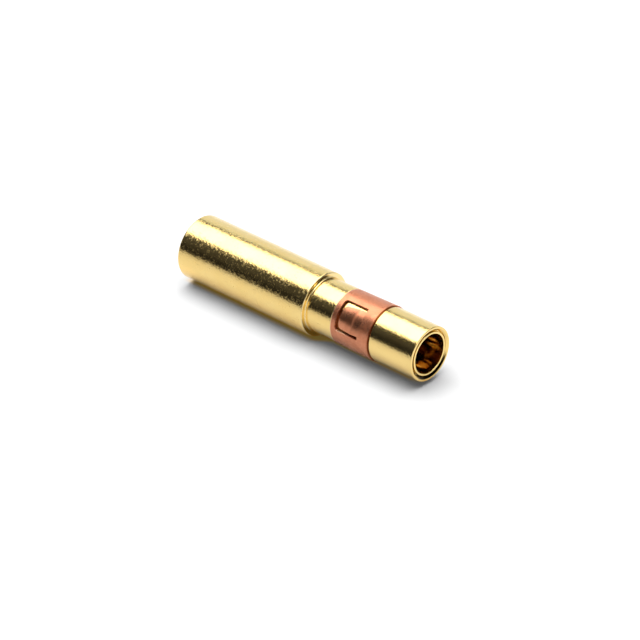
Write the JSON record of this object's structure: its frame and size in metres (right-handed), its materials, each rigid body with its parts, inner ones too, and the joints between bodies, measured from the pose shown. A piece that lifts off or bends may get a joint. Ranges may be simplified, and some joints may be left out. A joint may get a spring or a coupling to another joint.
{
  "type": "crimp power contact",
  "caption": "Turned crimp socket contact: a wire barrel, a shoulder and neck, a split retention clip with sprung tines, and an open nose lined with a spring sleeve.",
  "frame": {"origin": "centre of the flat rear face, where the wire goes in and on which the contact stands", "axes": "+Z along the contact's axis towards the open mating end, the first retention tine faces -Y"},
  "size_m": [0.0064, 0.0064, 0.0287],
  "materials": {
    "plated_body": "bright gold plating over a turned surface",
    "copper_clip": "satin copper alloy spring strip",
    "plated_sleeve": "bright gold plating"
  },
  "bodies": {
    "root": {"contact_body": "plated_body", "retention_clip": "copper_clip", "socket_sleeve": "plated_sleeve"}
  },
  "joints": []
}
